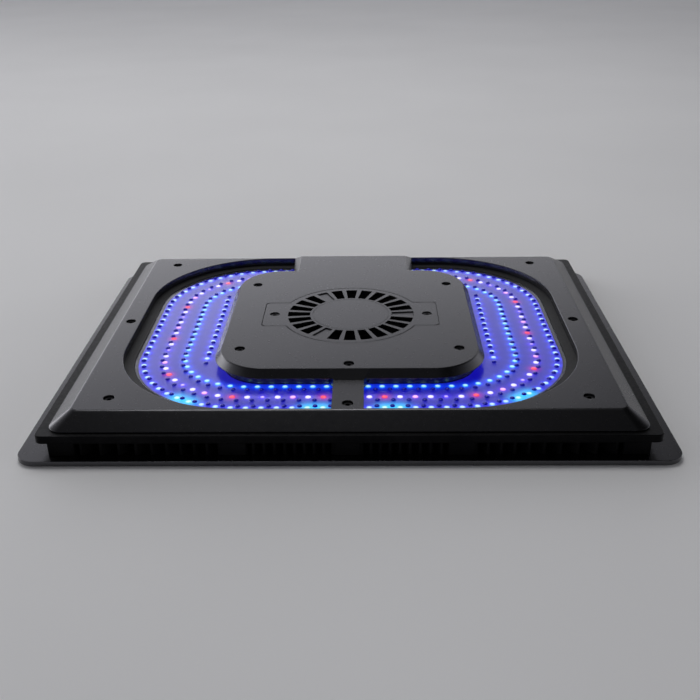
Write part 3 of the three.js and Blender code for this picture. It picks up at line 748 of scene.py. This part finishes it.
def fin_outlines():
    """Radial fins, clipped to the casting's rectangle and kept clear of the sockets' bay."""
    outlines = []
    half_w, half_d, half_t = FINS["width"] / 2, FINS["depth"] / 2, FINS["thick"] / 2
    for i in range(FINS["count"]):
        angle = (i + 0.5) * 2 * math.pi / FINS["count"]
        c, s = math.cos(angle), math.sin(angle)
        reach = min(half_w / max(abs(c), 1e-6), half_d / max(abs(s), 1e-6)) - half_t * 0.6
        start = FINS["long"] if i % FINS["every"] == 0 else FINS["short"]
        if s > 0 and abs(c) * reach < BAY + 3:
            continue
        if reach - start < 4:
            continue
        nose = arc(reach - half_t, 0, half_t, -1, 1, 6)
        tail = arc(start + half_t, 0, half_t, 1, 3, 6)
        outlines.append([(x * c - y * s, x * s + y * c) for x, y in nose + tail])
    return outlines


def heat_sink():
    low, high = SINK.z0, SINK_TOP
    under = high - SINK_PLATE
    w, d, r, edge = SINK.width, SINK.depth, 4, 0.5
    levels = [(w - 2 * i, d - 2 * i, r - i, under + drop) for i, drop in reversed(fillet(edge))]
    levels += [(w - 2 * i, d - 2 * i, r - i, high - drop) for i, drop in fillet(edge)]
    plate = stack("heat_sink_plate", levels, 12)
    cut(plate, prism("fan_hole", circle(FAN_HOLE, sides=96), under - 1, high + 1))
    fins = prisms("fins", fin_outlines(), low, under + 0.2)
    x, y = (FINS["width"] - BLOCK["size"]) / 2, (FINS["depth"] - BLOCK["inset"]) / 2
    places = [(s, -y) for s in (-BLOCK["spread"], 0, BLOCK["spread"])]
    places += [(s, y) for s in (-BLOCK["spread"], BLOCK["spread"])]
    places += [(side, at) for side in (-x, x) for at in (-y, 0, y)]
    blocks = prisms("blocks", [
        [(px + bx, py + by) for px, py in rounded(BLOCK["size"], BLOCK["inset"], 1.5, 5)] for bx, by in places
    ], low, under + 0.2)
    radius, soft = STANDOFF["radius"], 0.2
    standoff = [(0, high - soft), (radius, high - soft), (radius, SINK.z1 - soft), (radius - soft, SINK.z1)]
    standoff.append((0, SINK.z1))
    corners = [(sx * STANDOFF["x"], sy * STANDOFF["y"]) for sx in (-1, 1) for sy in (-1, 1)]
    merge(plate, fins, blocks, turned("standoffs", [(standoff, px, py) for px, py in corners], 20))
    return finish_piece(plate, CASTING, nodes=("heat_sink",))


# ---------------------------------------------------------------- lens, boards and emitters
def lens_cover():
    w, d, low, high, edge = LENS.width, LENS.depth, LENS.z0, LENS.z1, 0.25
    corner = LENS_CORNER
    levels = [(w - 2 * i, d - 2 * i, corner - i, low + drop) for i, drop in reversed(fillet(edge))]
    levels += [(w - 2 * i, d - 2 * i, corner - i, high - drop) for i, drop in fillet(edge)]
    sheet = stack("clear_lens", levels, 24)
    cut(sheet, prism("core", rounded(CORE["width"], CORE["depth"], CORE["corner"], 16), low - 1, high + 1))
    x, y = centre("frame_screw_front")
    cut(sheet, prism("notch", circle(NOTCH, x, y), low - 1, high + 1))
    made = finish_piece(sheet, CLEAR, nodes=("lens_cover",))
    made.visible_shadow = False  # the boards are lit through it
    made.data.materials.append(SEAL)  # painted shade: the cut edges get the black seal material, so that they do not light up
    for face in made.data.polygons:
        if abs(face.normal.z) < 0.5:
            face.material_index = 1
    return made


def lens_surround():
    """Black rubber between the boards and the frame, with a lip under the edge of the lens."""
    w, d, low, high, edge = SURROUND.width, SURROUND.depth, SURROUND.z0, SURROUND.z1, 0.2
    levels = [(w, d, SURROUND_CORNER, low)]
    levels += [(w - 2 * i, d - 2 * i, SURROUND_CORNER - i, high - drop) for i, drop in fillet(edge)]
    seal = stack("lens_surround", levels, 24)
    board = rounded(2 * BOARD.width + 1 + 2 * GAP, BOARD.depth + 2 * GAP, BOARD_CORNER + GAP, 24)
    lens = rounded(LENS.width + 2 * GAP, LENS.depth + 2 * GAP, LENS_CORNER + GAP, 24)
    x, y = centre("frame_screw_front")
    cut(seal, prism("board_hole", board, low - 1, high + 1), prism("rebate", lens, LENS.z0 - GAP, high + 1))
    cut(seal, prism("notch", circle(NOTCH, x, y), low - 1, high + 1))
    return finish_piece(seal, SEAL, nodes=("lens_gasket_outer",))


TRACKS = {  # half width, half depth, corner, number of emitters
    "outer": {"half": (131, 110), "corner": 70, "count": 95},
    "colour": {"half": (118, 97), "corner": 57, "count": 85},
    "inner": {"half": (105, 84), "corner": 44, "count": 82},
}
TRACK_START = 3.3  # the tracks' first emitter is just right of the middle of the front
COLUMNS = {"x": 91, "front": -54, "rear": 51.5, "count": 13}
COLOUR_CYCLE = ("red", "white", "pink", "white", "violet", "white")
HIDDEN_BY_BRIDGE = 2  # emitters each side of the first one that the front bridge covers
EMITTER = {"radius": 1.75, "height": 0.4, "small": 0.75}
DOME = {"radius": 1.55, "rise": 1.0}


def on_track(half, corner, s, shift=0.0):
    """Point at arc length s from the middle of the front, going round to the right."""
    w, d = half[0] - corner, half[1] - corner
    bend = math.pi * corner / 2
    runs = [
        (w, lambda t: (t, -half[1])),
        (bend, lambda t: (w + corner * math.sin(t / corner), -d - corner * math.cos(t / corner))),
        (2 * d, lambda t: (half[0], -d + t)),
        (bend, lambda t: (w + corner * math.cos(t / corner), d + corner * math.sin(t / corner))),
        (2 * w, lambda t: (w - t, half[1])),
        (bend, lambda t: (-w - corner * math.sin(t / corner), d + corner * math.cos(t / corner))),
        (2 * d, lambda t: (-half[0], d - t)),
        (bend, lambda t: (-w - corner * math.cos(t / corner), -d - corner * math.sin(t / corner))),
        (w, lambda t: (-w + t, -half[1])),
    ]
    s %= sum(length for length, _ in runs)
    for length, place in runs:
        if s <= length:
            x, y = place(s)
            return x, y + shift
        s -= length
    return 0, -half[1] + shift


def track_length(half, corner):
    return 4 * (half[0] + half[1] - 2 * corner) + 2 * math.pi * corner


def emitter_places():
    """(colour, x, y) of every lit emitter."""
    places = []
    for name, track in TRACKS.items():
        count, half, corner = track["count"], track["half"], track["corner"]
        pitch = track_length(half, corner) / count
        for i in range(-(count // 2), count - count // 2):
            x, y = on_track(half, corner, TRACK_START + i * pitch)
            kind = {"outer": "blue", "inner": "cyan"}.get(name)
            if kind is None:
                kind = COLOUR_CYCLE[(abs(i) - HIDDEN_BY_BRIDGE) % len(COLOUR_CYCLE)]
            elif name == "outer" and abs(i) in (2, 3, 11, 12):
                kind = "bright_cyan"
            places.append((kind, x, y))
    step = (COLUMNS["rear"] - COLUMNS["front"]) / (COLUMNS["count"] - 1)
    for i in range(1, COLUMNS["count"]):
        for side in (-1, 1):
            places.append(("ice", side * COLUMNS["x"], COLUMNS["front"] + i * step))
    return places


def dome_places():
    """(x, y) of the dark domes that alternate with the lit emitters."""
    places = []
    for name, track in TRACKS.items():
        count, corner = track["count"], track["corner"]
        reach = 0 if name == "outer" else 3
        half = (track["half"][0] + reach * 0.2, track["half"][1] + reach)
        pitch = track_length(half, corner) / count
        for i in range(-(count // 2), count - count // 2):
            places.append(on_track(half, corner, TRACK_START + (i + 0.5) * pitch, -reach))
    step = (COLUMNS["rear"] - COLUMNS["front"]) / (COLUMNS["count"] - 1)
    for i in range(COLUMNS["count"]):
        for side in (-1, 1):
            places.append((side * (COLUMNS["x"] - 0.7), COLUMNS["front"] + (i + (0.5 if i else 0)) * step))
    return places


KINDS = {  # an emitter's middle, its rim, the halo it throws on the board, and the record's slot
    "blue": ((0.75, 0.95, 1.0), (0.08, 0.35, 1.0), (0.01, 0.02, 0.9), "led_blue"),
    "bright_cyan": ((0.8, 1.0, 1.0), (0.1, 0.75, 1.0), (0.03, 0.7, 1.1), "led_blue"),
    "cyan": ((0.6, 1.0, 1.0), (0.03, 0.45, 1.0), (0.0, 0.08, 0.9), "led_blue"),
    "ice": ((0.8, 0.95, 1.0), (0.1, 0.35, 1.0), (0.02, 0.04, 0.9), "led_blue"),
    "white": ((1.0, 1.0, 1.0), (0.75, 0.65, 1.0), (0.06, 0.03, 0.6), "led_white"),
    "pink": ((1.0, 0.65, 0.95), (0.8, 0.25, 0.8), (0.10, 0.01, 0.5), "led_violet"),
    "violet": ((0.75, 0.6, 1.0), (0.25, 0.15, 1.0), (0.05, 0.01, 0.6), "led_violet"),
    "red": ((1.0, 0.12, 0.2), (1.0, 0.0, 0.05), (0.5, 0.0, 0.1), "led_red"),
}
HALO = {"reach": 2.3, "wide": 3.8, "base": (0.003, 0.001, 0.4), "strength": 1.0, "grid": 1.2}


def led_board(side, lit):
    """Board with a fine top face that carries the glow of the emitters as colours."""
    word = "left" if side < 0 else "right"
    box = Extent(f"led_board_{word}")
    outline = rounded(2 * box.width + 1, box.depth, BOARD_CORNER, 24)
    board = prism(f"board_{word}", outline, box.z0, box.z1)
    core = rounded(CORE["width"], CORE["depth"], CORE["corner"], 16)
    cut(board, prism("core", core, box.z0 - 1, box.z1 + 1))
    kept = rectangle(box.width + 20, box.depth + 10, side * (box.width + 21) / 2, 0)
    boolean(board, prism("half", kept, box.z0 - 2, box.z1 + 2), "INTERSECT")
    bm = bmesh.new()
    bm.from_mesh(board.data)
    grid = HALO["grid"] * MM
    for axis in (0, 1):
        low = min(v.co[axis] for v in bm.verts)
        high = max(v.co[axis] for v in bm.verts)
        at = low + grid
        normal = [0, 0, 0]
        normal[axis] = 1
        while at < high - grid / 2:
            place = [0, 0, 0]
            place[axis] = at
            everything = bm.verts[:] + bm.edges[:] + bm.faces[:]
            bmesh.ops.bisect_plane(bm, geom=everything, plane_co=place, plane_no=normal)
            at += grid
    bm.to_mesh(board.data)
    bm.free()
    glow = board.data.color_attributes.new("glow", "FLOAT_COLOR", "POINT")
    near = {}
    cell = 4 * HALO["reach"]
    for kind, x, y in lit:
        reach = HALO["wide" if kind == "bright_cyan" else "reach"]
        near.setdefault((round(x / cell), round(y / cell)), []).append((KINDS[kind][2], reach, x, y))
    for i, v in enumerate(board.data.vertices):
        x, y = v.co.x / MM, v.co.y / MM
        total = list(HALO["base"])
        if v.co.z / MM > box.z1 - 0.1:
            cx, cy = round(x / cell), round(y / cell)
            for dx in (-1, 0, 1):
                for dy in (-1, 0, 1):
                    for color, reach, ex, ey in near.get((cx + dx, cy + dy), ()):
                        share = math.exp(-((x - ex) ** 2 + (y - ey) ** 2) / (2 * reach ** 2))
                        for k in range(3):
                            total[k] += HALO["strength"] * share * color[k]
        else:
            total = [0, 0, 0.05]
        glow.data[i].color = (*total, 1)
    return finish_piece(board, LIT_BOARD, nodes=(f"led_board_{word}",))


def emitters(side, lit):
    """All the lit emitters of one board, a piece for each colour."""
    word = "left" if side < 0 else "right"
    base = BOARD.z1
    r, h, sides = EMITTER["radius"], EMITTER["height"], 16
    for kind, (middle, rim, _, slot) in KINDS.items():
        places = [(x, y) for k, x, y in lit if k == kind and (x < 0) == (side < 0)]
        if not places:
            continue
        scale = EMITTER["small"] if kind == "violet" else 1.0
        steps = [(0, 0, 1), (1, 0, 1), (1, 0.5, 1), (0.85, 0.85, 0.7), (0.5, 0.97, 0.1), (0, 1, 0)]
        bm = bmesh.new()
        for x, y in places:
            turn_into(bm, [(r * scale * part, base + h * up) for part, up, _ in steps], x, y, sides)
        piece = from_bmesh(f"leds_{kind}_{word}", bm)
        shade = []
        for part, _, edge in steps:
            color = [a + (b - a) * edge for a, b in zip(middle, rim)]
            shade += [(*color, 1)] * (sides if part else 1)
        glow = piece.data.color_attributes.new("glow", "FLOAT_COLOR", "POINT")
        for i, color in enumerate(shade * len(places)):
            glow.data[i].color = color
        finish_piece(piece, LIGHTS[kind], sharp=50)


def dark_domes(side):
    """Small dark domes between the lit emitters. They stand on the clear cover, not on the boards, so that
    its reflection does not hide them."""
    word = "left" if side < 0 else "right"
    base, r = LENS.z1 + 0.02, DOME["radius"]
    profile = [(0, base), (r, base)]
    profile += [(r * math.cos(a * math.pi / 12), base + DOME["rise"] * math.sin(a * math.pi / 12))
                for a in range(1, 6)]
    profile.append((0, base + DOME["rise"]))
    bm = bmesh.new()
    for x, y in dome_places():
        if (x < 0) == (side < 0):
            turn_into(bm, profile, x, y, 16)
    finish_piece(from_bmesh(f"dark_domes_{word}", bm), DARK_DOME, sharp=50)


LIGHTS = {kind: emitter(f"led_{kind}", rim) for kind, (_, rim, _, _) in KINDS.items()}


# ---------------------------------------------------------------- fasteners
def screw_piece(node, up=1):
    """Button-head screw with a hexagon socket, in the place of a CAD screw. up is -1 if it faces down."""
    box = Extent(node)
    x, y = box.x, box.y
    head_top = box.z1 if up > 0 else box.z0
    tip = box.z0 if up > 0 else box.z1
    radius = box.width / 2
    thick = HEAD["panel_thick"] if node.startswith("panel_") else HEAD["thick"]
    profile = [(0, tip), (HEAD["shank"] * 0.7, tip), (HEAD["shank"], tip + up * 0.5)]
    profile += [(HEAD["shank"], head_top - up * thick), (radius, head_top - up * thick)]
    profile += [(radius - inset, head_top - up * drop) for inset, drop in fillet(HEAD["edge"])]
    profile.append((0, head_top))
    made = turned(f"{node}_fine", [(profile, x, y)], 28)
    deep = thick * 0.7
    low, high = sorted((head_top - up * deep, head_top + up))
    cut(made, prism("socket", circle(HEAD["socket"], x, y, 6), low, high))
    return finish_piece(made, SCREW, nodes=(node,))


def insert_piece(node):
    box = Extent(node)
    bore, radius, edge = INSERT["bore"], INSERT["radius"], INSERT["edge"]
    profile = [(bore, box.z0), (radius - edge, box.z0), (radius, box.z0 + edge)]
    profile += [(radius, box.z1), (bore, box.z1)]
    bm = bmesh.new()
    rings = [[(px, py, z) for px, py in circle(r, box.x, box.y, 32)] for r, z in profile]
    skin_into(bm, rings, closed=True)
    return finish_piece(from_bmesh(f"{node}_fine", bm), BRASS, nodes=(node,))


# ---------------------------------------------------------------- carried-over CAD nodes
def dress(node, mat, edge=0.2):
    """A CAD node whose shape is right: softened edges and its material."""
    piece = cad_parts[node]
    piece.data.materials.clear()
    piece.data.materials.append(mat)
    soften = piece.modifiers.new("soft_edges", "BEVEL")
    soften.width = edge * MM
    soften.segments = 2
    soften.limit_method = "ANGLE"
    soften.angle_limit = math.radians(40)
    soften.harden_normals = True


def build():
    lit = emitter_places()
    front_bezel()
    access_panel()
    back_cover()
    heat_sink()
    lens_cover()
    lens_surround()
    for side in (-1, 1):
        led_board(side, lit)
        emitters(side, lit)
        dark_domes(side)
    for node in sorted(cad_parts):
        if "_screw_" in node:
            screw_piece(node, -1 if node.startswith(("back_", "fan_")) else 1)
        elif node.startswith("hanging_insert"):
            insert_piece(node)
    for node, mat in {
        "lens_gasket_inner": RUBBER, "fan_frame": PLASTIC, "fan_bearing": BRASS,
        "fan_stator": COPPER, "fan_rotor": PLASTIC, "fan_magnet_ring": MAGNET, "fan_shaft": STEEL,
        "control_board": CIRCUIT, "power_inlet": PLASTIC, "control_socket": PLASTIC, "supply_lead": RUBBER,
    }.items():
        dress(node, mat)


build()
bpy.context.scene.view_settings.view_transform = "Standard"

bpy.context.view_layer.update()
